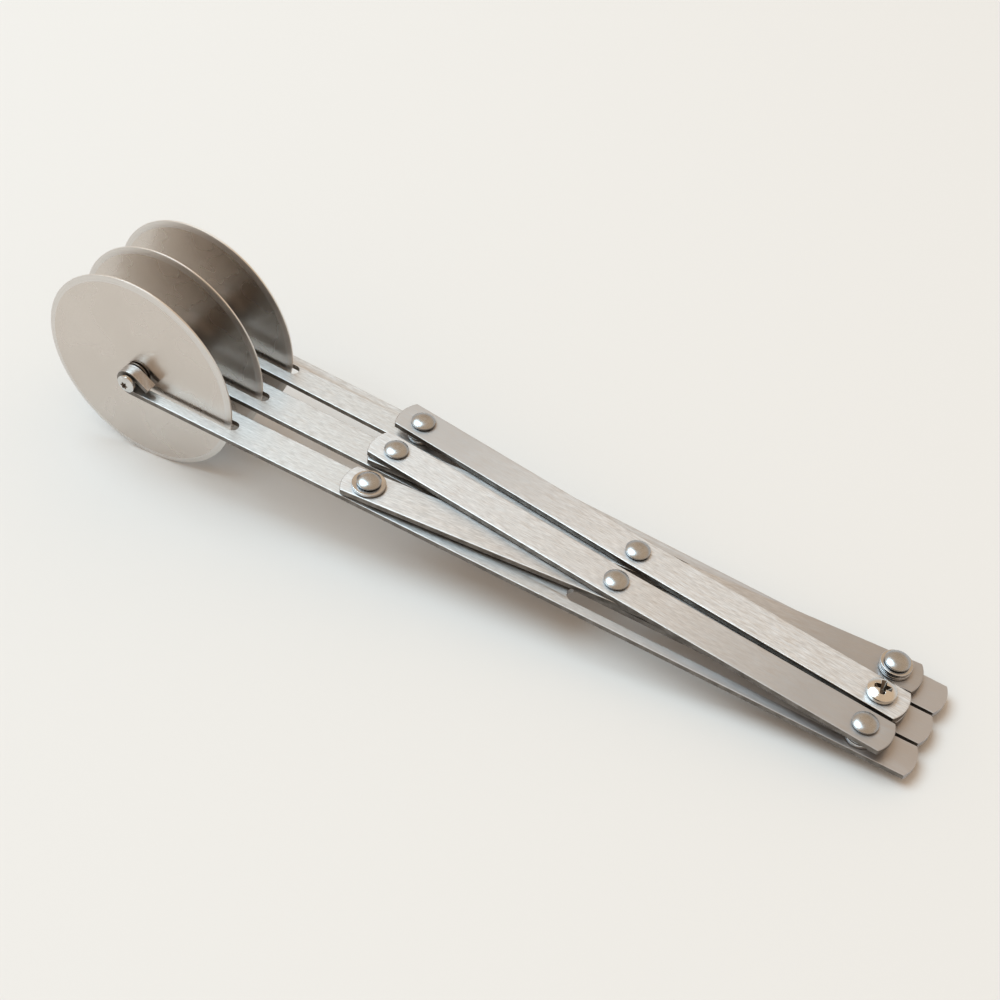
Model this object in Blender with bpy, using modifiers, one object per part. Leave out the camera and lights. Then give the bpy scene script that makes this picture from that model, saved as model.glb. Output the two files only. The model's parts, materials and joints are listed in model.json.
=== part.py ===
"""Expanding three-wheel pastry cutter, modelled in metres with +Z up.

Three flat bars carry one cutting disc each in a forked front end. Four flat links in two
layers join the bars as lazy tongs: the bars spread sideways and stay the same way round,
and the rear pins slide in the bars' long rear slots. The tool frame has X from the axles
to the rear, Y from the near bar to the far bar and Z up from the bars' top faces. It is
tipped so that the discs and the nut under the middle bar stand on the table at Z = 0.
"""
import math

import bmesh
import bpy
from mathutils import Matrix

MM = 0.001
FIT_GAP = 0.3 * MM
FACE_GAP = 0.25 * MM

# Discs and their hubs
WHEEL_RADIUS = 27.5 * MM
WHEEL_THICKNESS = 1.2 * MM
WHEEL_BEVEL = 1.6 * MM
RIM_THICKNESS = 0.4 * MM
AXLE_HEIGHT = 2.95 * MM
AXLE_RADIUS = 1.5 * MM
AXLE_HEAD_RADIUS = 2.4 * MM
AXLE_HEAD_HEIGHT = 1.65 * MM
AXLE_HEAD_RIM = 1.0 * MM
AXLE_NUT_FLATS = 5.5 * MM
AXLE_NUT_HEIGHT = 1.6 * MM
BUSH_RADIUS = 2.3 * MM
HUB_FLANGE_RADIUS = 3.3 * MM
HUB_FLANGE_THICKNESS = 0.45 * MM

# Bars: flat strips, slotted, with the fork's two ends rolled over the axle
STRIP_WIDTH = 9.0 * MM
STRIP_THICKNESS = 1.4 * MM
BAR_END_X = 204.0 * MM
WHEEL_SLOT_WIDTH = 3.2 * MM
WHEEL_SLOT_END_X = 29.3 * MM
REAR_SLOT_WIDTH = 4.2 * MM
REAR_SLOT_FRONT_X = 120.5 * MM
REAR_SLOT_REAR_X = 195.7 * MM
LOOP_INNER_RADIUS = 2.3 * MM
LOOP_END_ANGLE = math.radians(57)
LOOP_TAIL = 4.6 * MM
END_BOW = 1.3 * MM

# Linkage at rest: equal half links, each bent a little at its middle pivot
FRONT_PIVOT_X = 66.75 * MM
HALF_LINK = 63.0 * MM
REST_ANGLE = math.radians(5.0)
LINK_BEND = math.radians(0.95)
LINK_OVERHANG = 5.3 * MM

# Layers above the bars' top faces
LINK_THICKNESS = 1.5 * MM
THIN_WASHER = 0.4 * MM
LOWER_LINK_Z = THIN_WASHER + 2 * FACE_GAP
UPPER_LINK_Z = LOWER_LINK_Z + LINK_THICKNESS + FACE_GAP
TOP_Z = UPPER_LINK_Z + LINK_THICKNESS + FACE_GAP

# Rivets, washers, rear screw and nut
RIVET_RADIUS = 1.5 * MM
REAR_PIN_RADIUS = 1.75 * MM
RIVET_HEAD_RADIUS = 2.95 * MM
RIVET_HEAD_HEIGHT = 1.4 * MM
RIVET_HEAD_RIM = 0.5 * MM
RIVET_FOOT_RADIUS = 2.7 * MM
RIVET_FOOT_HEIGHT = 1.0 * MM
MIDDLE_FOOT_HEIGHT = 0.4 * MM
WASHER_RADIUS = 3.7 * MM
WIDE_WASHER_RADIUS = 4.1 * MM
UNDER_WASHER = 0.5 * MM
TOP_WASHER = 0.8 * MM
SCREW_HEAD_RADIUS = 3.35 * MM
SCREW_HEAD_HEIGHT = 2.2 * MM
SCREW_HEAD_RIM = 1.1 * MM
SCREW_NUT_FLATS = 7.0 * MM
SCREW_NUT_HEIGHT = 2.2 * MM

WHEEL_STEPS = 48
ROUND_STEPS = 16
DOME_SEGMENTS = 4
ARC_SEGMENTS = 8
LOOP_SEGMENTS = 16
CUTTER_HEIGHT = 30.0 * MM
MERGE = 0.00001
SHARP_ANGLE = math.radians(35)

UNDER_Z = -STRIP_THICKNESS - FACE_GAP
NUT_TOP_Z = UNDER_Z - UNDER_WASHER - FACE_GAP
NUT_FOOT_Z = NUT_TOP_Z - SCREW_NUT_HEIGHT
REAR_PIVOT_X = FRONT_PIVOT_X + 2 * HALF_LINK * math.cos(REST_ANGLE)


def clear_scene():
    for item in list(bpy.data.objects):
        bpy.data.objects.remove(item, do_unlink=True)


def new_collection(name):
    collection = bpy.data.collections.new(name)
    bpy.context.scene.collection.children.link(collection)
    return collection


def steel(name, colour, roughness):
    """A metal finish from its colour and roughness."""
    material = bpy.data.materials.new(name)
    material.use_nodes = True
    surface = material.node_tree.nodes["Principled BSDF"]
    surface.inputs["Base Color"].default_value = (*colour, 1.0)
    surface.inputs["Metallic"].default_value = 1.0
    surface.inputs["Roughness"].default_value = roughness
    return material


def add_empty(name, parent, location, rotation=(0, 0, 0)):
    empty = bpy.data.objects.new(name, None)
    parts.objects.link(empty)
    empty.parent = parent
    empty.location = location
    empty.rotation_euler = rotation
    return empty


def add_object(name, data, material, parent, location=(0, 0, 0)):
    """One sub-part, placed in its parent's frame."""
    item = bpy.data.objects.new(name, data)
    parts.objects.link(item)
    item.parent = parent
    item.location = location
    if material.name not in data.materials:
        data.materials.append(material)
    return item


def arc(centre, radius, start, end, segments):
    """Points along an arc, both ends included."""
    points = []
    for step in range(segments + 1):
        angle = start + (end - start) * step / segments
        points.append((centre[0] + radius * math.cos(angle), centre[1] + radius * math.sin(angle)))
    return points


def circle(centre, radius, segments=ROUND_STEPS):
    return arc(centre, radius, 0, 2 * math.pi * (1 - 1 / segments), segments - 1)


def plate_data(name, loops, thickness):
    """A flat curve with holes: the first loop is the outline."""
    curve = bpy.data.curves.new(name, "CURVE")
    curve.dimensions = "2D"
    curve.fill_mode = "BOTH"
    curve.extrude = thickness / 2
    for loop in loops:
        spline = curve.splines.new("POLY")
        spline.points.add(len(loop) - 1)
        for point, (x, y) in zip(spline.points, loop):
            point.co = (x, y, 0, 1)
        spline.use_cyclic_u = True
    return curve


def mesh_from(item):
    """The item's evaluated shape as a closed mesh, in its own coordinates."""
    graph = bpy.context.evaluated_depsgraph_get()
    mesh = bpy.data.meshes.new_from_object(item.evaluated_get(graph))
    shape = bmesh.new()
    shape.from_mesh(mesh)
    bmesh.ops.remove_doubles(shape, verts=shape.verts, dist=MERGE)
    bmesh.ops.recalc_face_normals(shape, faces=shape.faces)
    shape.to_mesh(mesh)
    shape.free()
    return mesh


def turned_data(name, profile, closed=False, steps=ROUND_STEPS):
    """A solid of revolution about Z from a profile that runs down its outer side."""
    edges = [(index, index + 1) for index in range(len(profile) - 1)]
    if closed:
        edges.append((len(profile) - 1, 0))
    outline = bpy.data.meshes.new(name + "_profile")
    outline.from_pydata([(radius, 0, height) for radius, height in profile], edges, [])
    blank = bpy.data.objects.new(name + "_profile", outline)
    parts.objects.link(blank)
    screw = blank.modifiers.new("turn", "SCREW")
    screw.steps = steps
    screw.render_steps = steps
    screw.use_merge_vertices = True
    screw.merge_threshold = MERGE
    mesh = mesh_from(blank)
    bpy.data.objects.remove(blank, do_unlink=True)
    mesh.name = name
    mesh.shade_smooth()
    mesh.set_sharp_from_angle(angle=SHARP_ANGLE)
    return mesh


def washer_data(name, outer, inner, thickness):
    half = thickness / 2
    profile = [(outer, half), (outer, -half), (inner, -half), (inner, half)]
    return turned_data(name, profile, closed=True)


def dome(radius, base, rim, height):
    """Profile of a domed head, from its crown down to its rim's foot."""
    crown = base + height
    rise = height - rim
    curve_radius = (radius ** 2 + rise ** 2) / (2 * rise)
    up = math.pi / 2
    rim_angle = up - math.asin(radius / curve_radius)
    points = arc((0, crown - curve_radius), curve_radius, up, rim_angle, DOME_SEGMENTS)
    points[0] = (0, crown)
    return points + [(radius, base)]


def rivet_data(name, shank, head_z, foot_z, foot_height):
    """A domed rivet: head above head_z, peened foot below foot_z."""
    profile = dome(RIVET_HEAD_RADIUS, head_z, RIVET_HEAD_RIM, RIVET_HEAD_HEIGHT)
    profile += [(shank, head_z), (shank, foot_z), (RIVET_FOOT_RADIUS, foot_z)]
    profile += [(RIVET_FOOT_RADIUS, foot_z - foot_height), (0, foot_z - foot_height)]
    return turned_data(name, profile)


def nut_data(name, flats, hole, height):
    corner = flats / math.sqrt(3)
    return plate_data(name, [circle((0, 0), corner, 6), circle((0, 0), hole)], height)


def add_cutter(name, loop):
    """An outline extruded through the bar, which is only cut away from it."""
    blank = bpy.data.objects.new(name + "_blank", plate_data(name, [loop], CUTTER_HEIGHT))
    parts.objects.link(blank)
    cutter = bpy.data.objects.new(name, mesh_from(blank))
    bpy.data.objects.remove(blank, do_unlink=True)
    cutters.objects.link(cutter)
    cutter.display_type = "WIRE"
    cutter.hide_render = True
    return cutter


def slot_outline(front_x, rear_x, width):
    """A slot along X with both ends round."""
    radius = width / 2
    rear = arc((rear_x - radius, 0), radius, -math.pi / 2, math.pi / 2, ARC_SEGMENTS)
    front = arc((front_x + radius, 0), radius, math.pi / 2, 3 * math.pi / 2, ARC_SEGMENTS)
    return rear + front


def end_arc(corner_x, half_width, direction):
    """The bowed end of a strip, from its -Y corner to its +Y corner."""
    radius = (half_width ** 2 + END_BOW ** 2) / (2 * END_BOW)
    half_angle = math.asin(half_width / radius)
    points = arc((0, 0), radius, -half_angle, half_angle, ARC_SEGMENTS)
    offset = radius * math.cos(half_angle)
    return [(corner_x + direction * (x - offset), y) for x, y in points]


def bar_side_outline():
    """Side view of a bar from its rear end to the free tail of the rolled loop."""
    outer = LOOP_INNER_RADIUS + STRIP_THICKNESS
    start = -math.pi / 2
    end = LOOP_END_ANGLE - 2 * math.pi
    tail_x = LOOP_TAIL * math.sin(LOOP_END_ANGLE)
    tail_z = -LOOP_TAIL * math.cos(LOOP_END_ANGLE)
    under = arc((0, LOOP_INNER_RADIUS), outer, start, end, LOOP_SEGMENTS)
    inside = arc((0, LOOP_INNER_RADIUS), LOOP_INNER_RADIUS, end, start, LOOP_SEGMENTS)
    rear_x = BAR_END_X + 2 * END_BOW
    outline = [(rear_x, -STRIP_THICKNESS)] + under
    outline.append((under[-1][0] + tail_x, under[-1][1] + tail_z))
    outline.append((inside[0][0] + tail_x, inside[0][1] + tail_z))
    return outline + inside + [(rear_x, 0)]


def bar_mesh():
    """A bar with its fork, rolled loops, long slot, pivot hole and bowed rear end."""
    side = plate_data("bar_side", [bar_side_outline()], STRIP_WIDTH)
    blank = bpy.data.objects.new("bar_side", side)
    parts.objects.link(blank)
    strip = mesh_from(blank)
    bpy.data.objects.remove(blank, do_unlink=True)
    strip.transform(Matrix.Rotation(math.pi / 2, 4, "X"))

    bar = bpy.data.objects.new("bar_strip", strip)
    parts.objects.link(bar)
    half = STRIP_WIDTH / 2
    past_end = BAR_END_X + 4 * END_BOW
    waste = end_arc(BAR_END_X, half, 1) + [(BAR_END_X, 2 * half), (past_end, 2 * half)]
    waste += [(past_end, -2 * half), (BAR_END_X, -2 * half)]
    wheel_slot = slot_outline(-WHEEL_SLOT_END_X, WHEEL_SLOT_END_X, WHEEL_SLOT_WIDTH)
    rear_slot = slot_outline(REAR_SLOT_FRONT_X, REAR_SLOT_REAR_X, REAR_SLOT_WIDTH)
    pivot_hole = circle((FRONT_PIVOT_X, 0), RIVET_RADIUS + FIT_GAP)
    loops = {"wheel_slot": wheel_slot, "rear_slot": rear_slot, "pivot_hole": pivot_hole, "rear_end": waste}
    for name, loop in loops.items():
        cut = bar.modifiers.new(name, "BOOLEAN")
        cut.object = add_cutter(name + "_cutter", loop)
    mesh = mesh_from(bar)
    bpy.data.objects.remove(bar, do_unlink=True)
    mesh.name = "bar"
    return mesh


def link_pivots(bend_side):
    """Front and rear pivots of a link in a frame at its middle pivot, X along its length."""
    along = HALF_LINK * math.cos(LINK_BEND / 2)
    aside = bend_side * HALF_LINK * math.sin(LINK_BEND / 2)
    return (-along, aside), (along, aside)


def link_data(name, bend_side):
    """A link with bowed ends, bent at its middle, with a hole at each pivot."""
    front, rear = link_pivots(bend_side)
    half = STRIP_WIDTH / 2
    holes = {front: RIVET_RADIUS, (0, 0): RIVET_RADIUS, rear: REAR_PIN_RADIUS}
    outline = [(x, y + rear[1]) for x, y in end_arc(rear[0] + LINK_OVERHANG, half, 1)]
    outline.append((0, half))
    outline += [(x, y + front[1]) for x, y in reversed(end_arc(front[0] - LINK_OVERHANG, half, -1))]
    outline.append((0, -half))
    loops = [outline] + [circle(centre, radius + FIT_GAP) for centre, radius in holes.items()]
    return plate_data(name, loops, LINK_THICKNESS)


def wheel_data():
    half = WHEEL_THICKNESS / 2
    rim = RIM_THICKNESS / 2
    hole = BUSH_RADIUS + FIT_GAP
    bevel_start = WHEEL_RADIUS - WHEEL_BEVEL
    profile = [(hole, half), (bevel_start, half), (WHEEL_RADIUS, rim)]
    profile += [(WHEEL_RADIUS, -rim), (bevel_start, -half), (hole, -half)]
    return turned_data("disc", profile, closed=True, steps=WHEEL_STEPS)


def bush_data():
    """A sleeve the disc turns on, with a flange at its top end."""
    half = WHEEL_SLOT_WIDTH / 2 - FIT_GAP
    bore = AXLE_RADIUS + FIT_GAP
    flange = half - HUB_FLANGE_THICKNESS
    profile = [(HUB_FLANGE_RADIUS, half), (HUB_FLANGE_RADIUS, flange), (BUSH_RADIUS, flange)]
    profile += [(BUSH_RADIUS, -half), (bore, -half), (bore, half)]
    return turned_data("hub_bush", profile, closed=True)


def axle_screw_data():
    """A round-headed axle screw, head up, its head's foot at the bar's near face."""
    head_z = STRIP_WIDTH / 2 + FACE_GAP
    foot_z = -head_z - AXLE_NUT_HEIGHT
    profile = dome(AXLE_HEAD_RADIUS, head_z, AXLE_HEAD_RIM, AXLE_HEAD_HEIGHT)
    profile += [(AXLE_RADIUS, head_z), (AXLE_RADIUS, foot_z), (0, foot_z)]
    return turned_data("axle_screw", profile)


def rear_screw_data():
    """The rear pan-head screw, its head on the upper link and its end at the nut's foot."""
    profile = dome(SCREW_HEAD_RADIUS, TOP_Z, SCREW_HEAD_RIM, SCREW_HEAD_HEIGHT)
    profile += [(REAR_PIN_RADIUS, TOP_Z), (REAR_PIN_RADIUS, NUT_FOOT_Z), (0, NUT_FOOT_Z)]
    return turned_data("rear_screw", profile)


def add_hub(side, frame):
    """Axle screw, nut, bush, washer and disc in one bar's fork."""
    axle = add_empty(side + "_axle_frame", frame, (-FRONT_PIVOT_X, 0, AXLE_HEIGHT), (math.pi / 2, 0, 0))
    add_object(side + "_wheel", shared["wheel"], finish["disc"], axle)
    add_object(side + "_axle_screw", shared["axle_screw"], finish["screw"], axle)
    nut_z = -STRIP_WIDTH / 2 - FACE_GAP - AXLE_NUT_HEIGHT / 2
    add_object(side + "_axle_nut", shared["axle_nut"], finish["screw"], axle, (0, 0, nut_z))
    add_object(side + "_hub_bush", shared["bush"], finish["washer"], axle)
    washer_z = -WHEEL_SLOT_WIDTH / 2 + FIT_GAP + HUB_FLANGE_THICKNESS / 2
    add_object(side + "_hub_washer", shared["hub_washer"], finish["washer"], axle, (0, 0, washer_z))


def add_bar(side, frame):
    add_object(side + "_bar", shared["bar"], finish["strip"], frame, (-FRONT_PIVOT_X, 0, 0))


def add_washers(name, parent, place, bottom, top, count, outer=WASHER_RADIUS, hole=REAR_PIN_RADIUS):
    """Equal washers stacked between two heights, with a gap at each face."""
    thickness = (top - bottom - (count - 1) * FACE_GAP) / count
    data = washer_data(name, outer, hole + FIT_GAP, thickness)
    for index in range(count):
        z = bottom + thickness / 2 + index * (thickness + FACE_GAP)
        suffix = "" if count == 1 else "_" + str(index + 1)
        add_object(name + suffix, data, finish["washer"], parent, (*place, z))


def add_front_rivets(near, middle, far):
    """Rivets that join the links' front ends to the bars, with their washers."""
    thin_top = LOWER_LINK_Z - FACE_GAP
    spacer_top = UPPER_LINK_Z - FACE_GAP
    washer_top = UPPER_LINK_Z + TOP_WASHER
    here = (0, 0)
    hole = RIVET_RADIUS
    add_washers("near_front_spacer", near, here, FACE_GAP, thin_top, 1, hole=hole)
    add_washers("near_front_washer", near, here, UPPER_LINK_Z, washer_top, 1, WIDE_WASHER_RADIUS, hole)
    add_washers("middle_front_spacer", middle, here, FACE_GAP, thin_top, 1, hole=hole)
    add_washers("far_front_spacer", far, here, FACE_GAP, spacer_top, 2, hole=hole)
    heads = {"near": (near, washer_top + FACE_GAP), "middle": (middle, TOP_Z), "far": (far, TOP_Z)}
    for side, (frame, head_z) in heads.items():
        name = side + "_front_rivet"
        data = rivet_data(name, RIVET_RADIUS, head_z, UNDER_Z, RIVET_FOOT_HEIGHT)
        add_object(name, data, finish["rivet"], frame)


def add_link(name, parent, bend_side, base_z, shift=(0, 0)):
    place = (*shift, base_z + LINK_THICKNESS / 2)
    add_object(name, link_data(name, bend_side), finish["strip"], parent, place)


def add_rear_rivet(side, parent, place, head_z):
    """A rear rivet through a bar's slot, with the washer under the bar."""
    name = side + "_rear_rivet"
    data = rivet_data(name, REAR_PIN_RADIUS, head_z, NUT_TOP_Z, RIVET_FOOT_HEIGHT)
    add_object(name, data, finish["rivet"], parent, (*place, 0))
    add_washers(side + "_rear_under_washer", parent, place, UNDER_Z - UNDER_WASHER, UNDER_Z, 1)


def add_middle_rivet(side, parent, place):
    """A rivet that pins an upper link to the lower link under it."""
    name = side + "_middle_rivet"
    data = rivet_data(name, RIVET_RADIUS, TOP_Z, LOWER_LINK_Z - FACE_GAP, MIDDLE_FOOT_HEIGHT)
    add_object(name, data, finish["rivet"], parent, (*place, 0))


def add_upper_near_link(frame):
    """Upper link from the middle bar to the near bar's slot, in a frame at its front pivot."""
    front, rear = link_pivots(1)
    shift = (-front[0], -front[1])
    rear_place = (rear[0] - front[0], rear[1] - front[1])
    add_link("near_upper_link", frame, 1, UPPER_LINK_Z, shift)
    add_middle_rivet("near", frame, shift)
    add_rear_rivet("near", frame, rear_place, TOP_Z)
    add_washers("near_rear_spacer", frame, rear_place, FACE_GAP, UPPER_LINK_Z - FACE_GAP, 2)


def add_lower_far_link(frame):
    """Lower link from the middle bar to the far bar's slot, in a frame at its front pivot."""
    front, rear = link_pivots(-1)
    shift = (-front[0], -front[1])
    rear_place = (rear[0] - front[0], rear[1] - front[1])
    add_link("far_lower_link", frame, -1, LOWER_LINK_Z, shift)
    head_z = UPPER_LINK_Z + 2 * TOP_WASHER + 2 * FACE_GAP
    add_rear_rivet("far", frame, rear_place, head_z)
    add_washers("far_rear_spacer", frame, rear_place, FACE_GAP, LOWER_LINK_Z - FACE_GAP, 1)
    add_washers("far_rear_washer", frame, rear_place, UPPER_LINK_Z, head_z - FACE_GAP, 2)


def add_lower_near_link(frame):
    """Lower link from the near bar to the middle bar's slot, in a frame at its middle pivot."""
    add_link("near_lower_link", frame, -1, LOWER_LINK_Z)


def add_upper_far_link(frame):
    """Upper link from the far bar to the middle bar's slot, in a frame at its middle pivot."""
    rear = link_pivots(1)[1]
    add_link("far_upper_link", frame, 1, UPPER_LINK_Z)
    add_middle_rivet("far", frame, (0, 0))
    add_object("middle_rear_screw", rear_screw_data(), finish["screw"], frame, (*rear, 0))
    add_washers("middle_rear_spacer", frame, rear, FACE_GAP, LOWER_LINK_Z - FACE_GAP, 1)
    add_washers("middle_rear_under_washer", frame, rear, UNDER_Z - UNDER_WASHER, UNDER_Z, 1)
    nut = nut_data("middle_rear_nut", SCREW_NUT_FLATS, REAR_PIN_RADIUS + FIT_GAP, SCREW_NUT_HEIGHT)
    add_object("middle_rear_nut", nut, finish["screw"], frame, (*rear, NUT_FOOT_Z + SCREW_NUT_HEIGHT / 2))


def tool_placement():
    """Tilt and position that stand the discs and the rear nut on Z = 0, centred on X."""
    nut_x = REAR_PIVOT_X + SCREW_NUT_FLATS / math.sqrt(3)
    drop = AXLE_HEIGHT - NUT_FOOT_Z
    tilt = math.asin(WHEEL_RADIUS / math.hypot(nut_x, drop)) - math.atan2(drop, nut_x)
    end_x = BAR_END_X + END_BOW
    rear_reach = end_x * math.cos(tilt) - AXLE_HEIGHT * math.sin(tilt)
    axle_x = (WHEEL_RADIUS - rear_reach) / 2
    origin_x = axle_x - AXLE_HEIGHT * math.sin(tilt)
    origin_z = WHEEL_RADIUS - AXLE_HEIGHT * math.cos(tilt)
    return tilt, (origin_x, 0, origin_z)


def build():
    tilt, origin = tool_placement()
    tool = add_empty("tool_frame", None, origin, (0, tilt, 0))

    half = HALF_LINK
    front_x = FRONT_PIVOT_X + half * (math.cos(REST_ANGLE) - math.cos(REST_ANGLE + LINK_BEND))
    front_y = half * (math.sin(REST_ANGLE) + math.sin(REST_ANGLE + LINK_BEND))
    middle_x = FRONT_PIVOT_X + half * math.cos(REST_ANGLE)
    middle_y = half * math.sin(REST_ANGLE)
    start_turn = REST_ANGLE - LINK_BEND / 2
    cross_turn = REST_ANGLE + LINK_BEND / 2

    near = add_empty("near_bar_frame", tool, (front_x, -front_y, 0), (0, 0, LINK_BEND))
    middle = add_empty("middle_bar_frame", tool, (FRONT_PIVOT_X, 0, 0))
    far = add_empty("far_bar_frame", tool, (front_x, front_y, 0), (0, 0, -LINK_BEND))
    for side, frame in {"near": near, "middle": middle, "far": far}.items():
        add_bar(side, frame)
        add_hub(side, frame)
    add_front_rivets(near, middle, far)

    centre = (FRONT_PIVOT_X, 0, 0)
    add_upper_near_link(add_empty("near_upper_link_frame", tool, centre, (0, 0, -start_turn)))
    add_lower_far_link(add_empty("far_lower_link_frame", tool, centre, (0, 0, start_turn)))
    near_middle = (middle_x, -middle_y, 0)
    far_middle = (middle_x, middle_y, 0)
    add_lower_near_link(add_empty("near_lower_link_frame", tool, near_middle, (0, 0, cross_turn)))
    add_upper_far_link(add_empty("far_upper_link_frame", tool, far_middle, (0, 0, -cross_turn)))


clear_scene()
parts = new_collection("pastry_cutter")
cutters = new_collection("pastry_cutter_cutters")
finish = {
    "strip": steel("brushed_strip", (0.60, 0.58, 0.56), 0.38),
    "disc": steel("satin_disc", (0.56, 0.53, 0.50), 0.45),
    "rivet": steel("satin_rivet", (0.48, 0.45, 0.42), 0.32),
    "washer": steel("plain_washer", (0.52, 0.49, 0.46), 0.35),
    "screw": steel("nickel_screw", (0.62, 0.59, 0.55), 0.20),
}
shared = {
    "bar": bar_mesh(),
    "wheel": wheel_data(),
    "axle_screw": axle_screw_data(),
    "axle_nut": nut_data("axle_nut", AXLE_NUT_FLATS, AXLE_RADIUS + FIT_GAP, AXLE_NUT_HEIGHT),
    "bush": bush_data(),
    "hub_washer": washer_data("hub_washer", HUB_FLANGE_RADIUS, BUSH_RADIUS + FIT_GAP, HUB_FLANGE_THICKNESS),
}
build()
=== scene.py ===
"""Looks of the expanding pastry cutter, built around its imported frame.

Every piece stands for one CAD node and rides on that node's body. Its place and main sizes
come from the record's joints and from the node itself. Lengths are in metres.
"""

import json
import math

import bmesh
import bpy
from mathutils import Matrix, Vector


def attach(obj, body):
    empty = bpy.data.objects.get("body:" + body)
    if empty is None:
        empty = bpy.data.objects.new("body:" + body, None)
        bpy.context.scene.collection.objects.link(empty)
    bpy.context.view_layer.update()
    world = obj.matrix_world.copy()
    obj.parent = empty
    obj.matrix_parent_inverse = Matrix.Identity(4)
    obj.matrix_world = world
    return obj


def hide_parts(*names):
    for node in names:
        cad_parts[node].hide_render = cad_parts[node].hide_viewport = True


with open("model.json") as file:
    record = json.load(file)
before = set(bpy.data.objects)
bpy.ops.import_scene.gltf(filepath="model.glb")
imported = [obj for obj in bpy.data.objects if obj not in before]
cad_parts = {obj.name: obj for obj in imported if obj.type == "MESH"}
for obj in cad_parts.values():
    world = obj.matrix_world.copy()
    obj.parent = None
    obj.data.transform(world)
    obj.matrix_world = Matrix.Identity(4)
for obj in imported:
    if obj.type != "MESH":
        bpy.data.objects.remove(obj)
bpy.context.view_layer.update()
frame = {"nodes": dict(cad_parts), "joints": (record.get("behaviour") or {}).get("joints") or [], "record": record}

MM = 0.001
SIDES = ("near", "middle", "far")

# Shape of the strips, beyond what the solids give
STRIP_EDGE = 0.22 * MM
STRIP_CORNER = 0.7 * MM
END_BOW = 1.3 * MM
WHEEL_SLOT_WIDTH = 3.2 * MM
WHEEL_SLOT_END = 29.3 * MM
REAR_SLOT_WIDTH = 4.2 * MM
REAR_SLOT_FRONT = 120.5 * MM
REAR_SLOT_REAR = 195.7 * MM
LOOP_INNER_RADIUS = 2.3 * MM
LOOP_END_ANGLE = math.radians(57)
LOOP_TAIL = 4.6 * MM
PIN_HOLE_RADIUS = 1.8 * MM
REAR_PIN_HOLE_RADIUS = 2.05 * MM

# Discs
WHEEL_BEVEL = 1.6 * MM
RIM_THICKNESS = 0.4 * MM
BLADE_EDGE = 0.06 * MM

# Rivets, screws and nuts
RIVET_SHANK_RADIUS = 1.5 * MM
REAR_PIN_RADIUS = 1.75 * MM
RIVET_HEAD_HEIGHT = 1.4 * MM
RIVET_HEAD_RIM = 0.55 * MM
RIVET_FOOT_HEIGHT = 1.0 * MM
MIDDLE_FOOT_HEIGHT = 0.4 * MM
RIVET_FOOT_RADIUS = 2.7 * MM
SCREW_HEAD_HEIGHT = 2.2 * MM
SCREW_HEAD_RIM = 1.2 * MM
AXLE_HEAD_HEIGHT = 1.65 * MM
AXLE_HEAD_RIM = 1.0 * MM
CROSS_REACH = 2.1 * MM
CROSS_WIDTH = 1.2 * MM
CROSS_DEPTH = 1.8 * MM
CROSS_TURN = math.radians(17)
STAR_RADIUS = 1.05 * MM
STAR_DEPTH = 0.9 * MM
STAR_LOBES = 6
STAR_MEAN = 0.82
STAR_WAVE = 0.18
SOFT_EDGE = 0.14 * MM
RIVET_FLATNESS = 3.2
SCREW_FLATNESS = 2.5
AXLE_NUT_FLATS = 5.5 * MM
REAR_NUT_FLATS = 7.0 * MM
NUT_CHAMFER = math.radians(25)
NUT_CHAMFER_DEPTH = 1.6
NUT_FACE_SHARE = 0.93

ROUND_STEPS = 64
DISC_STEPS = 192
ARC_STEPS = 24
LOOP_STEPS = 40
CORNER_STEPS = 3
DOME_STEPS = 12
CUTTER_HEIGHT = 30.0 * MM
TINY = 0.001 * MM
STRAIGHT_ANGLE = math.radians(150)
CORNER_SHARE = 0.45
BAR_EDGE_SLOPE = 0.8
LINK_EDGE_SLOPE = 0.3
GRAIN_TILE = 10 * MM

# View and light
CAMERA_PLACE = (0.1377, -0.2360, 0.2783)
CAMERA_TURN = (math.radians(46.22), math.radians(-1.07), math.radians(29.99))
FOCAL_LENGTH = 57.34
FLOOR_REACH = 2
FLOOR_COLOUR = (0.695, 0.695, 0.70)
FLOOR_ROUGHNESS = 0.8
ZENITH_COLOUR = (0.71, 0.54, 0.385)
HORIZON_COLOUR = (0.70, 0.69, 0.675)
SKY_FADE_FROM = 0.12
SKY_FADE_TO = 0.5
KEY_COLOUR = (0.62, 0.855, 1.0)
KEY_POWER = 63.0
KEY_SIZE = 2.5
KEY_DIRECTION = (-0.40, -0.09, 0.90)
KEY_DISTANCE = 3.0

record = frame["record"]
joints = {joint["name"]: joint for joint in frame["joints"]}
body_of = {node: body for body, nodes in record["behaviour"]["bodies"].items() for node in nodes}


# ---- places, from the record's joints and the CAD nodes

def joint_point(name):
    return Vector(joints[name]["pos_m"])


def joint_axis(name):
    return Vector(joints[name]["axis"]).normalized()


def placement(origin, x_axis, z_axis):
    """A frame at a point, with Z along z_axis and X as near x_axis as it can be."""
    y_axis = z_axis.cross(x_axis).normalized()
    x_axis = y_axis.cross(z_axis)
    turn = Matrix((x_axis, y_axis, z_axis)).transposed().to_4x4()
    return Matrix.Translation(origin) @ turn


def local_points(node, place):
    inverse = place.inverted()
    return [inverse @ vertex.co for vertex in frame["nodes"][node].data.vertices]


def local_box(node, place):
    """Lowest and highest corners of a CAD node in a frame of its own."""
    points = local_points(node, place)
    low = Vector([min(point[axis] for point in points) for axis in range(3)])
    high = Vector([max(point[axis] for point in points) for axis in range(3)])
    return low, high


def local_radii(node, place):
    """Smallest and largest radius of a turned CAD node about its own Z axis."""
    radii = [math.hypot(point.x, point.y) for point in local_points(node, place)]
    return min(radii), max(radii)


# ---- mesh building

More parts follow.
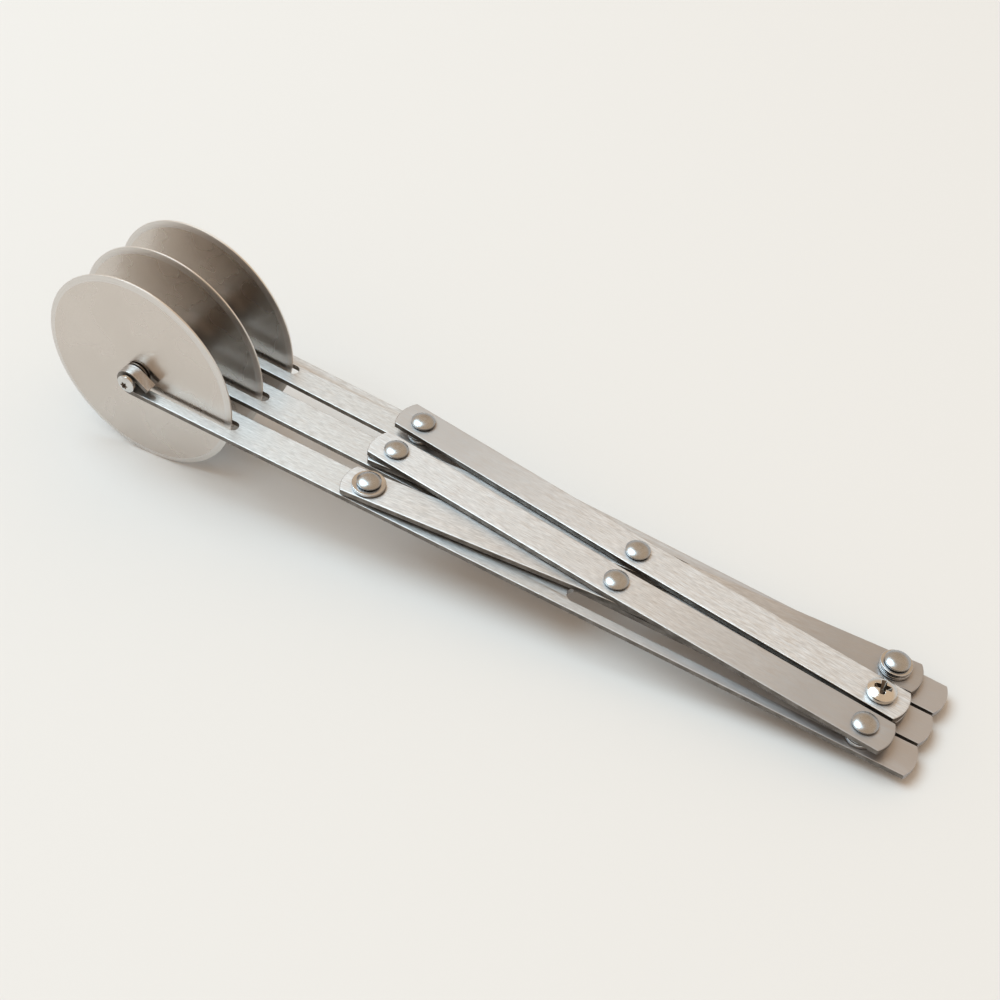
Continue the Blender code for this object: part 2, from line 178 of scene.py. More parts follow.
def arc(centre, radius, start, end, steps):
    """Points along an arc, both ends included."""
    points = []
    for step in range(steps + 1):
        angle = start + (end - start) * step / steps
        points.append(Vector((centre[0] + radius * math.cos(angle), centre[1] + radius * math.sin(angle))))
    return points


def circle(centre, radius, steps=ROUND_STEPS):
    return arc(centre, radius, 0, 2 * math.pi * (1 - 1 / steps), steps - 1)


def rounded(points, radius, closed=False):
    """The outline with each real corner replaced by a small curve."""
    result = []
    last = len(points) - 1
    for index, point in enumerate(points):
        corner = Vector(point)
        before = Vector(points[index - 1]) - corner
        after = Vector(points[(index + 1) % len(points)]) - corner
        at_end = not closed and index in (0, last)
        if at_end or before.angle(after) > STRAIGHT_ANGLE:
            result.append(corner)
            continue
        trim = min(radius, CORNER_SHARE * before.length, CORNER_SHARE * after.length)
        start = corner + before.normalized() * trim
        end = corner + after.normalized() * trim
        for step in range(CORNER_STEPS + 1):
            part = step / CORNER_STEPS
            result.append(start * (1 - part) ** 2 + corner * 2 * part * (1 - part) + end * part ** 2)
    return result


def baked(item):
    """The item's shape with its modifiers applied, and the item removed."""
    graph = bpy.context.evaluated_depsgraph_get()
    mesh = bpy.data.meshes.new_from_object(
        item.evaluated_get(graph), preserve_all_data_layers=True, depsgraph=graph
    )
    bpy.data.objects.remove(item, do_unlink=True)
    return mesh


def temporary(name, data):
    item = bpy.data.objects.new(name, data)
    bpy.context.scene.collection.objects.link(item)
    return item


def smoothed(mesh, angle=50):
    """Smooth shading that keeps flat faces flat and real corners sharp."""
    mesh.shade_smooth()
    mesh.set_sharp_from_angle(angle=math.radians(angle))
    item = temporary(mesh.name, mesh)
    weighted = item.modifiers.new("weighted", "WEIGHTED_NORMAL")
    weighted.keep_sharp = True
    return baked(item)


def turned(profile, closed=False, steps=ROUND_STEPS, finish_from=None):
    """A solid of revolution about Z. Faces from a profile row on may take the second material."""
    shape = bmesh.new()
    rows = []
    for radius, height in profile:
        count = 1 if radius < TINY else steps
        ring = []
        for step in range(count):
            angle = 2 * math.pi * step / steps
            ring.append(shape.verts.new((radius * math.cos(angle), radius * math.sin(angle), height)))
        rows.append(ring)
    pairs = list(zip(rows, rows[1:]))
    if closed:
        pairs.append((rows[-1], rows[0]))
    for row, (upper, lower) in enumerate(pairs):
        for step in range(steps):
            after = (step + 1) % steps
            corners = [upper[step % len(upper)], lower[step % len(lower)]]
            corners += [lower[after % len(lower)], upper[after % len(upper)]]
            face = shape.faces.new(list(dict.fromkeys(corners)))
            if finish_from and finish_from[0] <= row < finish_from[1]:
                face.material_index = 1
    bmesh.ops.recalc_face_normals(shape, faces=shape.faces)
    mesh = bpy.data.meshes.new("turned")
    shape.to_mesh(mesh)
    shape.free()
    return smoothed(mesh)


def prism(name, loops, low, high, edge=0.0):
    """A flat plate between two heights, with rounded edges on its outline and its holes."""
    curve = bpy.data.curves.new(name, "CURVE")
    curve.dimensions = "2D"
    curve.fill_mode = "BOTH"
    curve.extrude = (high - low) / 2 - edge
    curve.bevel_depth = edge
    curve.bevel_resolution = 2
    curve.offset = -edge
    for loop in loops:
        spline = curve.splines.new("POLY")
        spline.points.add(len(loop) - 1)
        for point, (x, y) in zip(spline.points, loop):
            point.co = (x, y, 0, 1)
        spline.use_cyclic_u = True
    mesh = baked(temporary(name, curve))
    shape = bmesh.new()
    shape.from_mesh(mesh)
    bmesh.ops.remove_doubles(shape, verts=shape.verts, dist=TINY)
    bmesh.ops.translate(shape, verts=shape.verts, vec=(0, 0, (low + high) / 2))
    bmesh.ops.recalc_face_normals(shape, faces=shape.faces)
    shape.to_mesh(mesh)
    shape.free()
    return mesh


def cut(mesh, cutters, material=None):
    """The mesh with each cutter taken away. Cut walls take the cutter's material."""
    item = temporary("blank", mesh)
    blades = []
    for data in cutters:
        if material:
            data.materials.append(material)
        blade = temporary("blade", data)
        blades.append(blade)
        taken = item.modifiers.new("cut", "BOOLEAN")
        taken.solver = "EXACT"
        taken.object = blade
        if material:
            taken.material_mode = "TRANSFER"
    result = baked(item)
    for blade in blades:
        bpy.data.objects.remove(blade, do_unlink=True)
    return result


def grain_map(mesh):
    """Texture directions of a flat strip: across its width, then along its length."""
    layer = mesh.uv_layers.new(name="grain")
    for loop in mesh.loops:
        x, y, _ = mesh.vertices[loop.vertex_index].co
        layer.data[loop.index].uv = (y / GRAIN_TILE, x / GRAIN_TILE)


# ---- shapes

def slot_loop(front, rear, width):
    """A slot along X with both ends round."""
    radius = width / 2
    quarter = math.pi / 2
    back = arc((rear - radius, 0), radius, -quarter, quarter, ARC_STEPS)
    return back + arc((front + radius, 0), radius, quarter, 3 * quarter, ARC_STEPS)


def end_arc(corner_x, half_width, direction):
    """The bowed end of a strip, from its -Y corner to its +Y corner."""
    radius = (half_width ** 2 + END_BOW ** 2) / (2 * END_BOW)
    half_angle = math.asin(half_width / radius)
    points = arc((0, 0), radius, -half_angle, half_angle, ARC_STEPS)
    offset = radius * math.cos(half_angle)
    return [Vector((corner_x + direction * (point.x - offset), point.y)) for point in points]


def loop_path(rear_x):
    """Rows along a bar, as (point, outward direction, length so far), in its side view."""
    rows = [(Vector((rear_x, 0)), Vector((0, -1)), 0.0), (Vector((0.5 * MM, 0)), Vector((0, -1)), rear_x)]
    centre = Vector((0, LOOP_INNER_RADIUS))
    start = -math.pi / 2
    end = LOOP_END_ANGLE - 2 * math.pi
    for step in range(LOOP_STEPS + 1):
        angle = start + (end - start) * step / LOOP_STEPS
        outward = Vector((math.cos(angle), math.sin(angle)))
        length = rear_x + (start - angle) * LOOP_INNER_RADIUS
        rows.append((centre + outward * LOOP_INNER_RADIUS, outward, length))
    point, outward, length = rows[-1]
    tail = Vector((outward.y, -outward.x)) * LOOP_TAIL
    rows.append((point + tail, outward, length + LOOP_TAIL))
    return rows


def strip_section(width, thickness):
    """Cross-section of a strip, across its width and down its thickness, with soft edges."""
    half = width / 2
    corners = [(-half, 0), (half, 0), (half, thickness), (-half, thickness)]
    return rounded(corners, STRIP_EDGE, closed=True)


def bar_mesh(pivot_x, rear_end, width, thickness):
    """A bar: a soft-edged strip, rolled at its front, with its fork, slot, hole and bowed end."""
    section = strip_section(width, thickness)
    rows = loop_path(rear_end + 2 * END_BOW)
    shape = bmesh.new()
    layer = shape.loops.layers.uv.new("grain")
    lengths = {}
    rings = []
    for point, outward, length in rows:
        ring = []
        for across, down in section:
            place = point + outward * down
            vertex = shape.verts.new((place.x, across, place.y))
            lengths[vertex] = length
            ring.append(vertex)
        rings.append(ring)
    count = len(section)
    for first, second in zip(rings, rings[1:]):
        for index in range(count):
            after = (index + 1) % count
            shape.faces.new((first[index], first[after], second[after], second[index]))
    shape.faces.new(rings[0])
    shape.faces.new(rings[-1])
    bmesh.ops.recalc_face_normals(shape, faces=shape.faces)
    for face in shape.faces:
        for corner in face.loops:
            corner[layer].uv = (corner.vert.co.y / GRAIN_TILE, lengths[corner.vert] / GRAIN_TILE)
    mesh = bpy.data.meshes.new("bar")
    shape.to_mesh(mesh)
    shape.free()

    half = width / 2
    corner_x = rear_end - END_BOW
    past = rear_end + 4 * END_BOW
    tip = rounded([(0, half), *reversed(end_arc(corner_x, half, 1)), (0, -half)], STRIP_CORNER)[1:-1]
    waste = [*reversed(tip), (tip[0].x, 2 * half), (past, 2 * half)]
    waste += [(past, -2 * half), (tip[-1].x, -2 * half)]
    loops = [
        slot_loop(-WHEEL_SLOT_END, WHEEL_SLOT_END, WHEEL_SLOT_WIDTH),
        slot_loop(REAR_SLOT_FRONT, REAR_SLOT_REAR, REAR_SLOT_WIDTH),
        circle((pivot_x, 0), PIN_HOLE_RADIUS),
        waste,
    ]
    reach = CUTTER_HEIGHT / 2
    return cut(mesh, [prism("blade", [loop], -reach, reach) for loop in loops])


def softened_bar(mesh):
    """The bar with its cut edges softened and its sides set to the second material, which paints shade on them."""
    item = temporary("bar", mesh)
    soft = item.modifiers.new("soft", "BEVEL")
    soft.width = 0.5 * STRIP_EDGE
    soft.segments = 2
    soft.limit_method = "ANGLE"
    soft.angle_limit = math.radians(60)
    return edged(smoothed(baked(item)), lambda normal: abs(normal.y) > BAR_EDGE_SLOPE)


def edged(mesh, is_edge):
    """The mesh with its cut sides set to its second material, which paints them dark as shade."""
    for face in mesh.polygons:
        face.material_index = int(is_edge(face.normal))
    return mesh


def link_mesh(place, node, half_link, bend_side):
    """A link: a bowed-end strip, bent a little at its middle, with three holes."""
    low, high = local_box(node, place)
    along = half_link * math.cos(link_bend / 2)
    aside = bend_side * half_link * math.sin(link_bend / 2)
    half = (high.y - low.y - abs(aside)) / 2
    rear = [point + Vector((0, aside)) for point in end_arc(high.x - END_BOW, half, 1)]
    front = [point + Vector((0, aside)) for point in end_arc(low.x + END_BOW, half, -1)]
    outline = rounded([*rear, (0, half), *reversed(front), (0, -half)], STRIP_CORNER, closed=True)
    loops = [outline, circle((-along, aside), PIN_HOLE_RADIUS), circle((0, 0), PIN_HOLE_RADIUS)]
    loops.append(circle((along, aside), REAR_PIN_HOLE_RADIUS))
    mesh = prism(node, loops, low.z, high.z, STRIP_EDGE)
    grain_map(mesh)
    return edged(smoothed(mesh), lambda normal: abs(normal.z) < LINK_EDGE_SLOPE)


def disc_mesh(node, place):
    """A disc with its ground bevel and fine rim. The bevel takes the second material."""
    face_height = local_box(node, place)[1].z
    hole, radius = local_radii(node, place)
    rim = RIM_THICKNESS / 2
    flat = radius - WHEEL_BEVEL
    corners = [(hole, 0), (hole, face_height), (flat, face_height), (radius, rim), (radius, 0)]
    upper = rounded(corners, BLADE_EDGE)
    bevel_row = next(row for row, point in enumerate(upper) if point[0] > flat - TINY)
    lower = [(radius, -height) for radius, height in reversed(upper[1:-1])]
    profile = upper + lower
    ground = (bevel_row, len(profile) - bevel_row - 1)
    return turned(profile, closed=True, steps=DISC_STEPS, finish_from=ground)


def ring_mesh(node, place):
    """A washer, spacer or flange with soft edges."""
    low, high = local_box(node, place)
    inner, outer = local_radii(node, place)
    corners = [(outer, high.z), (outer, low.z), (inner, low.z), (inner, high.z)]
    return turned(rounded(corners, SOFT_EDGE, closed=True), closed=True)


def bush_mesh(node, place):
    """A sleeve with a flange at its top."""
    low, high = local_box(node, place)
    inner, outer = local_radii(node, place)
    points = [(math.hypot(point.x, point.y), point.z) for point in local_points(node, place)]
    sleeve = max(radius for radius, height in points if height < low.z + TINY * 10)
    flange = min(height for radius, height in points if radius > outer - TINY * 10)
    corners = [(outer, high.z), (outer, flange), (sleeve, flange)]
    corners += [(sleeve, low.z), (inner, low.z), (inner, high.z)]
    return turned(rounded(corners, SOFT_EDGE, closed=True), closed=True)


def dome(radius, base, rim, height, flatness):
    """Profile of a domed head, from its crown down to its seat. A higher flatness flattens the crown."""
    rise = height - rim
    points = []
    for step in range(DOME_STEPS + 1):
        out = math.sin(math.pi / 2 * step / DOME_STEPS)
        points.append(Vector((radius * out, base + rim + rise * (1 - out ** flatness))))
    return points + [Vector((radius, base))]


def rivet_mesh(node, place, shank, foot_height):
    """A rivet with a low domed head and a peened foot."""
    low, high = local_box(node, place)
    radius = local_radii(node, place)[1]
    seat = high.z - RIVET_HEAD_HEIGHT
    foot = low.z + foot_height
    profile = dome(radius, seat, RIVET_HEAD_RIM, RIVET_HEAD_HEIGHT, RIVET_FLATNESS)
    profile += [(shank, seat), (shank, foot), (RIVET_FOOT_RADIUS, foot)]
    profile += [(RIVET_FOOT_RADIUS, low.z + foot_height / 3), (0.8 * RIVET_FOOT_RADIUS, low.z), (0, low.z)]
    return turned(rounded(profile, 2 * SOFT_EDGE))


def cross_cutters(crown):
    """Two crossed wedges that cut a cross recess, each given above, near and below the crown."""
    wedges = []
    for turn in (CROSS_TURN, CROSS_TURN + math.pi / 2):
        shape = bmesh.new()
        rings = []
        for height, reach, width in (
            (crown + MM, 1.25 * CROSS_REACH, 1.15 * CROSS_WIDTH),
            (crown - 0.15 * MM, CROSS_REACH, CROSS_WIDTH),
            (crown - CROSS_DEPTH, 0.35 * CROSS_REACH, 0.6 * CROSS_WIDTH),
        ):
            corners = [(-reach, -width / 2), (reach, -width / 2), (reach, width / 2), (-reach, width / 2)]
            outline = rounded(corners, 0.3 * width, closed=True)
            rings.append([shape.verts.new((x, y, height)) for x, y in outline])
        for first, second in zip(rings, rings[1:]):
            for index in range(len(first)):
                after = (index + 1) % len(first)
                shape.faces.new((first[index], first[after], second[after], second[index]))
        shape.faces.new(rings[0])
        shape.faces.new(rings[-1])
        bmesh.ops.rotate(shape, verts=shape.verts, matrix=Matrix.Rotation(turn, 3, "Z"))
        bmesh.ops.recalc_face_normals(shape, faces=shape.faces)
        mesh = bpy.data.meshes.new("wedge")
        shape.to_mesh(mesh)
        shape.free()
        wedges.append(mesh)
    return wedges


def star_loop():
    """A six-lobed recess outline."""
    points = []
    for step in range(ROUND_STEPS):
        angle = 2 * math.pi * step / ROUND_STEPS
        radius = STAR_RADIUS * (STAR_MEAN + STAR_WAVE * math.cos(STAR_LOBES * angle))
        points.append(Vector((radius * math.cos(angle), radius * math.sin(angle))))
    return points


def screw_mesh(node, place, shank, rim, head_height, cutters):
    """A screw: a pan head with a drive recess, and a plain shank with a chamfered end."""
    low, high = local_box(node, place)
    radius = local_radii(node, place)[1]
    seat = high.z - head_height
    profile = dome(radius, seat, rim, head_height, SCREW_FLATNESS)
    profile += [(shank, seat), (shank, low.z + 2 * SOFT_EDGE), (shank - 2 * SOFT_EDGE, low.z), (0, low.z)]
    mesh = turned(rounded(profile, 2.2 * SOFT_EDGE))
    mesh.materials.append(finish["screw"])
    return smoothed(cut(mesh, cutters(high.z), finish["recess"]), 40)


def star_cutters(crown):
    return [prism("star", [star_loop()], crown - STAR_DEPTH, crown + MM)]


def nut_mesh(node, place, flats):
    """A hexagon nut with its corners chamfered at both faces."""
    low, high = local_box(node, place)
    hole = local_radii(node, place)[0]
    corner = flats / math.sqrt(3)
    drop = (corner - flats / 2) * math.tan(NUT_CHAMFER) * NUT_CHAMFER_DEPTH
    hexagon = prism(node, [circle((0, 0), corner, 6), circle((0, 0), hole)], low.z, high.z)
    past = corner + MM
    flat_face = NUT_FACE_SHARE * flats / 2
    blades = []
    for face, side in ((high.z, 1), (low.z, -1)):
        profile = [(past, face - side * drop), (past, face + side * MM)]
        profile += [(flat_face, face + side * MM), (flat_face, face)]
        blades.append(turned(profile, closed=True))
    return smoothed(cut(hexagon, blades), 30)


# ---- finishes

def new_node(tree, kind, **settings):
    node = tree.nodes.new(kind)
    for key, value in settings.items():
        setattr(node, key, value)
    return node


def new_metal(name, roughness, anisotropy=0.0):
    """A metal with its node tree, its shader and object coordinates."""
    material = bpy.data.materials.new(name)
    material.use_nodes = True
    tree = material.node_tree
    surface = tree.nodes["Principled BSDF"]
    surface.inputs["Metallic"].default_value = 1.0
    surface.inputs["Roughness"].default_value = roughness
    surface.inputs["Anisotropic"].default_value = anisotropy
    return material, tree, surface, new_node(tree, "ShaderNodeTexCoord").outputs["Object"]


def noise(tree, coordinates, scale, detail=2.0):
    """Noise whose features per metre are given for each axis."""
    mapping = new_node(tree, "ShaderNodeMapping")
    mapping.inputs["Scale"].default_value = scale
    texture = new_node(tree, "ShaderNodeTexNoise")
    texture.inputs["Scale"].default_value = 1.0
    texture.inputs["Detail"].default_value = detail
    tree.links.new(coordinates, mapping.inputs["Vector"])
    tree.links.new(mapping.outputs["Vector"], texture.inputs["Vector"])
    return texture.outputs["Fac"]


def spread(tree, value, low, high, to_low, to_high):
    """The value mapped from one range to another, and held at its ends."""
    node = new_node(tree, "ShaderNodeMapRange")
    for key, number in zip(("From Min", "From Max", "To Min", "To Max"), (low, high, to_low, to_high)):
        node.inputs[key].default_value = number
    tree.links.new(value, node.inputs["Value"])
    return node.outputs["Result"]


def math_node(tree, operation, first, second):
    node = new_node(tree, "ShaderNodeMath", operation=operation)
    for socket, value in zip(node.inputs, (first, second)):
        if isinstance(value, (int, float)):
            socket.default_value = value
        else:
            tree.links.new(value, socket)
    return node.outputs["Value"]


def weighted_sum(tree, first, first_share, second, second_share):
    """Two values added, each times its share."""
    first_part = math_node(tree, "MULTIPLY", first, first_share)
    second_part = math_node(tree, "MULTIPLY", second, second_share)
    return math_node(tree, "ADD", first_part, second_part)


def mixed(tree, factor, first, second):
    """A colour between two, each given as numbers or as a socket."""
    node = new_node(tree, "ShaderNodeMix", data_type="RGBA")
    tree.links.new(factor, node.inputs["Factor"])
    for socket, value in zip((node.inputs[6], node.inputs[7]), (first, second)):
        if isinstance(value, tuple):
            socket.default_value = (*value, 1.0)
        else:
            tree.links.new(value, socket)
    return node.outputs[2]


def add_bump(tree, surface, height, strength, distance):
    bump = new_node(tree, "ShaderNodeBump")
    bump.inputs["Strength"].default_value = strength
    bump.inputs["Distance"].default_value = distance
    tree.links.new(height, bump.inputs["Height"])
    tree.links.new(bump.outputs["Normal"], surface.inputs["Normal"])


def circular(tree, coordinates, turns, per_metre):
    """Coordinates that stretch noise along circles about Z."""
    parts = new_node(tree, "ShaderNodeSeparateXYZ")
    tree.links.new(coordinates, parts.inputs["Vector"])
    x, y = parts.outputs["X"], parts.outputs["Y"]
    squares = weighted_sum(tree, x, x, y, y)
    radius = math_node(tree, "SQRT", squares, 0.0)
    safe = math_node(tree, "MAXIMUM", radius, TINY)
    joined = new_node(tree, "ShaderNodeCombineXYZ")
    tree.links.new(math_node(tree, "MULTIPLY", math_node(tree, "DIVIDE", x, safe), turns), joined.inputs["X"])
    tree.links.new(math_node(tree, "MULTIPLY", math_node(tree, "DIVIDE", y, safe), turns), joined.inputs["Y"])
    tree.links.new(math_node(tree, "MULTIPLY", radius, per_metre), joined.inputs["Z"])
    return joined.outputs["Vector"]


def brushed_strip(name, bright, shade_tone, shade_from, shade_to, grain_turn=0.0):
    """A strip brushed lengthwise. Its colour is painted darker from one place along its length to another: painted
    shade where the strip misses the key light's reflection.
    """
    material, tree, surface, place = new_metal(name, 0.42, 0.62)
    surface.inputs["Anisotropic Rotation"].default_value = grain_turn
    hairlines = noise(tree, place, (480, 4300, 4300), 3)
    brush = noise(tree, place, (260, 3400, 3400), 3)
    clouds = noise(tree, place, (70, 130, 130), 3)
    parts = new_node(tree, "ShaderNodeSeparateXYZ")
    tree.links.new(place, parts.inputs["Vector"])
    # Painted shade: the colour darkens along the strip's length where it no longer reflects the key light; the
    # clouds only make its strength patchy.
    shade_ramp = spread(tree, parts.outputs["X"], shade_from, shade_to, 0.0, 1.0)
    shade_mask = math_node(tree, "MULTIPLY", shade_ramp, spread(tree, clouds, 0.3, 0.7, 0.85, 1.0))
    streaks = weighted_sum(tree, hairlines, 0.75, brush, 0.25)
    light = spread(tree, streaks, 0.35, 0.65, 0.0, 1.0)
    shaded = tuple(0.74 * value for value in bright)
    tree.links.new(mixed(tree, shade_mask, mixed(tree, light, shaded, bright), shade_tone), surface.inputs["Base Color"])
    rough = spread(tree, brush, 0.3, 0.7, 0.36, 0.48)
    rough = math_node(tree, "ADD", rough, math_node(tree, "MULTIPLY", shade_mask, 0.08))
    tree.links.new(rough, surface.inputs["Roughness"])
    tangent = new_node(tree, "ShaderNodeTangent", direction_type="UV_MAP", uv_map="grain")
    tree.links.new(tangent.outputs["Tangent"], surface.inputs["Tangent"])
    add_bump(tree, surface, streaks, 0.4, 0.02 * MM)
    return material


def satin_disc():
    """Disc faces: fine even grain with faint turning marks and handling smudges."""
    material, tree, surface, place = new_metal("satin_disc", 0.27)
    grain = noise(tree, place, (3600, 3600, 3600), 2)
    smudges = noise(tree, place, (55, 55, 55), 2)
    turning = noise(tree, circular(tree, place, 3.0, 2500), (1, 1, 1), 2)
    shade = weighted_sum(tree, grain, 0.6, smudges, 0.4)
    factor = spread(tree, shade, 0.35, 0.65, 0.0, 1.0)
    colour = mixed(tree, factor, (0.625, 0.575, 0.53), (0.695, 0.645, 0.60))
    tree.links.new(colour, surface.inputs["Base Color"])
    tree.links.new(spread(tree, smudges, 0.2, 0.8, 0.24, 0.30), surface.inputs["Roughness"])
    height = weighted_sum(tree, grain, 0.8, turning, 0.2)
    add_bump(tree, surface, height, 0.06, 0.01 * MM)
    return material


def ground_bevel():
    """Ground bevel of the discs, with grinding lines round the edge."""
    material, tree, surface, place = new_metal("ground_bevel", 0.42)
    lines = noise(tree, circular(tree, place, 2.5, 7000), (1, 1, 1), 2)
    factor = spread(tree, lines, 0.3, 0.7, 0.0, 1.0)
    colour = mixed(tree, factor, (0.67, 0.645, 0.62), (0.75, 0.725, 0.70))
    tree.links.new(colour, surface.inputs["Base Color"])
    tree.links.new(spread(tree, lines, 0.3, 0.7, 0.36, 0.48), surface.inputs["Roughness"])
    add_bump(tree, surface, lines, 0.15, 0.01 * MM)
    return material


def plain_metal(name, dark, light, roughness, grain, bump, lines=0.0):
    """Small turned parts: cloudy tone, fine grain and faint turning lines."""
    material, tree, surface, place = new_metal(name, roughness)
    speckle = noise(tree, place, (grain, grain, grain), 3)
    clouds = noise(tree, place, (400, 400, 400), 2)
    turning = noise(tree, circular(tree, place, 2.0, 6000), (1, 1, 1), 2)
    factor = spread(tree, clouds, 0.3, 0.7, 0.0, 1.0)
    tree.links.new(mixed(tree, factor, dark, light), surface.inputs["Base Color"])
    rough = spread(tree, speckle, 0.3, 0.7, 0.85 * roughness, 1.2 * roughness)
    tree.links.new(rough, surface.inputs["Roughness"])
    height = weighted_sum(tree, speckle, 1 - lines, turning, lines)
    add_bump(tree, surface, height, bump, 0.02 * MM)
    return material


# Strip tones: the darker tones are painted shade along part of each strip, where it misses the key light's
# reflection; the bright tones are the rest.
BAR_BRIGHT = (0.63, 0.62, 0.615)
LINK_BRIGHT = (0.68, 0.675, 0.68)
UPPER_LINK_LIT_TONE = (0.71, 0.715, 0.73)
BAR_SHADE_TONE = (0.50, 0.495, 0.505)
LINK_SHADE_TONE = (0.455, 0.45, 0.455)
UPPER_LINK_SHADE_TONE = (0.50, 0.49, 0.49)
finish = {
    "bar": brushed_strip("brushed_bar", BAR_BRIGHT, BAR_SHADE_TONE, shade_from=0.11, shade_to=0.16),
    "link": brushed_strip("brushed_link", LINK_BRIGHT, LINK_SHADE_TONE, shade_from=0.01, shade_to=0.05),
    # The far upper link has a lighter copy of the link tone, a painted highlight, and is painted darker towards
    # its front, painted shade.
    "far_upper_link": brushed_strip(
        "brushed_link_front_painted_shade", UPPER_LINK_LIT_TONE, UPPER_LINK_SHADE_TONE, shade_from=-0.01, shade_to=-0.05, grain_turn=-0.09
    ),
    # Cut sides: rough like sheared steel, and painted near black as shade in the gaps under and between the
    # strips.
    "edge": plain_metal(
        "sheared_edge_painted_shade", (0.16, 0.145, 0.13), (0.27, 0.25, 0.23), roughness=0.42, grain=2500, bump=0.3
    ),
    "disc": satin_disc(),
    "bevel": ground_bevel(),
    "rivet": plain_metal(
        "satin_rivet", (0.38, 0.395, 0.41), (0.47, 0.485, 0.50), roughness=0.28, grain=1500, bump=0.25
    ),
    "washer": plain_metal(
        "turned_washer", (0.50, 0.51, 0.525), (0.61, 0.62, 0.635),
        roughness=0.22, grain=2500, bump=0.2, lines=0.6,
    ),
    # Painted shadow: the hub bush is painted dark brown, standing in for the shadow between the bar's rolled front
    # and the disc.
    "bush": plain_metal(
        "bush_painted_shadow", (0.16, 0.14, 0.125), (0.26, 0.235, 0.21), roughness=0.35, grain=1500, bump=0.25
    ),
    "screw": plain_metal(
        "nickel_screw", (0.60, 0.60, 0.59), (0.71, 0.71, 0.70),
        roughness=0.14, grain=1800, bump=0.12, lines=0.3,
    ),
    # Painted shade: the walls of the drive recesses are painted dark, standing in for the shade inside them.
    "recess": plain_metal(
        "screw_recess", (0.12, 0.10, 0.085), (0.22, 0.19, 0.165), roughness=0.4, grain=2500, bump=0.4
    ),
}


# ---- the tool, node by node

def add_piece(node, mesh, place, *materials):
    """A piece that stands for one CAD node and moves with its body."""
    if not mesh.materials:
        for material in materials:
            mesh.materials.append(material)
    piece = bpy.data.objects.new(node + "_look", mesh)
    bpy.context.scene.collection.objects.link(piece)
    piece.matrix_world = place
    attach(piece, body_of[node])
    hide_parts(node)


UP = -joint_axis("spread")
link_bend = joint_axis("near_wheel_spin").angle(joint_axis("middle_wheel_spin"))
bar_pivots = {"near": "near_bar_pivot", "middle": "spread", "far": "far_bar_pivot"}
pins = {}

for side in SIDES:
    across = joint_axis(side + "_wheel_spin")
    axle = joint_point(side + "_wheel_spin")
    pivot = joint_point(bar_pivots[side])
    along = across.cross(UP)
    bar_place = placement(axle - UP * (axle - pivot).dot(UP), along, UP)
    low, high = local_box(side + "_bar", bar_place)
    pivot_x = (bar_place.inverted() @ pivot).x
    bar = softened_bar(bar_mesh(pivot_x, high.x, high.y - low.y, -low.z))
    add_piece(side + "_bar", bar, bar_place, finish["bar"], finish["edge"])
    pins[side + "_front"] = placement(pivot, along, UP)

    axle_place = placement(axle, along, -across)
    wheel = side + "_wheel"
    level = placement(axle, Vector((1, 0, 0)), -across)
    add_piece(wheel, disc_mesh(wheel, level), level, finish["disc"], finish["bevel"])
    screw = side + "_axle_screw"
    mesh = screw_mesh(screw, axle_place, RIVET_SHANK_RADIUS, AXLE_HEAD_RIM, AXLE_HEAD_HEIGHT, star_cutters)
    add_piece(screw, mesh, axle_place)
    nut = side + "_axle_nut"
    add_piece(nut, nut_mesh(nut, axle_place, AXLE_NUT_FLATS), axle_place, finish["screw"])
    bush = side + "_hub_bush"
    add_piece(bush, bush_mesh(bush, axle_place), axle_place, finish["bush"])
    washer = side + "_hub_washer"
    add_piece(washer, ring_mesh(washer, axle_place), axle_place, finish["washer"])

links = {
    "near_upper_link": ("spread", "near_cross", 1, "near_rear"),
    "near_lower_link": ("near_bar_pivot", "near_cross", -1, None),
    "far_lower_link": ("far_link_pivot", "far_cross", -1, "far_rear"),
    "far_upper_link": ("far_bar_pivot", "far_cross", 1, "middle_rear"),
}
for node, (front, middle, bend_side, rear_pin) in links.items():
    centre = joint_point(middle)
    half_link = (centre - joint_point(front)).length
    along = Matrix.Rotation(bend_side * link_bend / 2, 3, UP) @ (centre - joint_point(front)).normalized()
    place = placement(centre, along, UP)
    mesh = link_mesh(place, node, half_link, bend_side)
    add_piece(node, mesh, place, finish.get(node, finish["link"]), finish["edge"])
    pins[middle.replace("cross", "middle")] = placement(centre, along, UP)
    if rear_pin:
        aside = bend_side * half_link * math.sin(link_bend / 2)
        reach = Vector((half_link * math.cos(link_bend / 2), aside, 0))
        pins[rear_pin] = placement(place @ reach, along, UP)

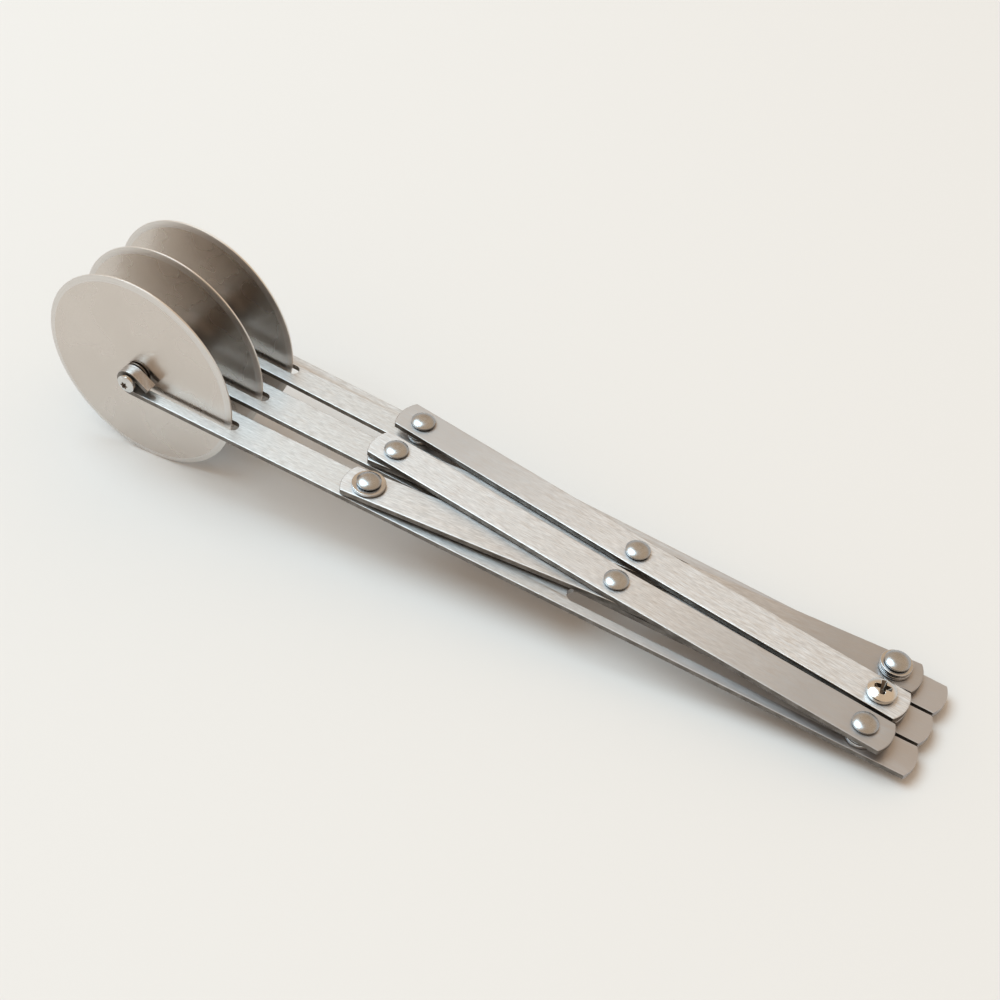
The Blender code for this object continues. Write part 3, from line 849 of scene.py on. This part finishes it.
for prefix, place in pins.items():
    for node in sorted(name for name in body_of if name.startswith(prefix)):
        if "rivet" in node:
            shank = REAR_PIN_RADIUS if "rear" in node else RIVET_SHANK_RADIUS
            foot = MIDDLE_FOOT_HEIGHT if "middle_rivet" in node else RIVET_FOOT_HEIGHT
            add_piece(node, rivet_mesh(node, place, shank, foot), place, finish["rivet"])
        elif "screw" in node:
            mesh = screw_mesh(node, place, REAR_PIN_RADIUS, SCREW_HEAD_RIM, SCREW_HEAD_HEIGHT, cross_cutters)
            add_piece(node, mesh, place)
        elif "nut" in node:
            add_piece(node, nut_mesh(node, place, REAR_NUT_FLATS), place, finish["screw"])
        else:
            add_piece(node, ring_mesh(node, place), place, finish["washer"])


# ---- floor, light and camera

floor_mesh = bpy.data.meshes.new("floor")
floor_corners = [(x * FLOOR_REACH, y * FLOOR_REACH, 0) for x, y in ((-1, -1), (1, -1), (1, 1), (-1, 1))]
floor_mesh.from_pydata(floor_corners, [], [(0, 1, 2, 3)])
floor = temporary("floor", floor_mesh)
paper = bpy.data.materials.new("pale_floor")
paper.use_nodes = True
paper_surface = paper.node_tree.nodes["Principled BSDF"]
paper_surface.inputs["Base Color"].default_value = (*FLOOR_COLOUR, 1.0)
paper_surface.inputs["Roughness"].default_value = FLOOR_ROUGHNESS
floor_mesh.materials.append(paper)

world = bpy.data.worlds.new("soft_room")
world.use_nodes = True
sky = world.node_tree
heading = new_node(sky, "ShaderNodeSeparateXYZ")
sky.links.new(new_node(sky, "ShaderNodeTexCoord").outputs["Generated"], heading.inputs["Vector"])
rise = spread(sky, heading.outputs["Z"], SKY_FADE_FROM, SKY_FADE_TO, 0.0, 1.0)
sky.links.new(mixed(sky, rise, HORIZON_COLOUR, ZENITH_COLOUR), sky.nodes["Background"].inputs["Color"])
bpy.context.scene.world = world

key = bpy.data.lights.new("key", "AREA")
key.shape = "DISK"
key.size = KEY_SIZE
key.energy = KEY_POWER
key.color = KEY_COLOUR
key_lamp = temporary("key", key)
direction = Vector(KEY_DIRECTION).normalized()
key_lamp.location = direction * KEY_DISTANCE
key_lamp.rotation_euler = direction.to_track_quat("Z", "Y").to_euler()

camera = bpy.data.cameras.new("camera")
camera.lens = FOCAL_LENGTH
camera_rig = temporary("camera", camera)
camera_rig.location = CAMERA_PLACE
camera_rig.rotation_euler = CAMERA_TURN
bpy.context.scene.camera = camera_rig
bpy.context.scene.view_settings.view_transform = "Standard"
bpy.context.scene.view_settings.look = "Medium High Contrast"
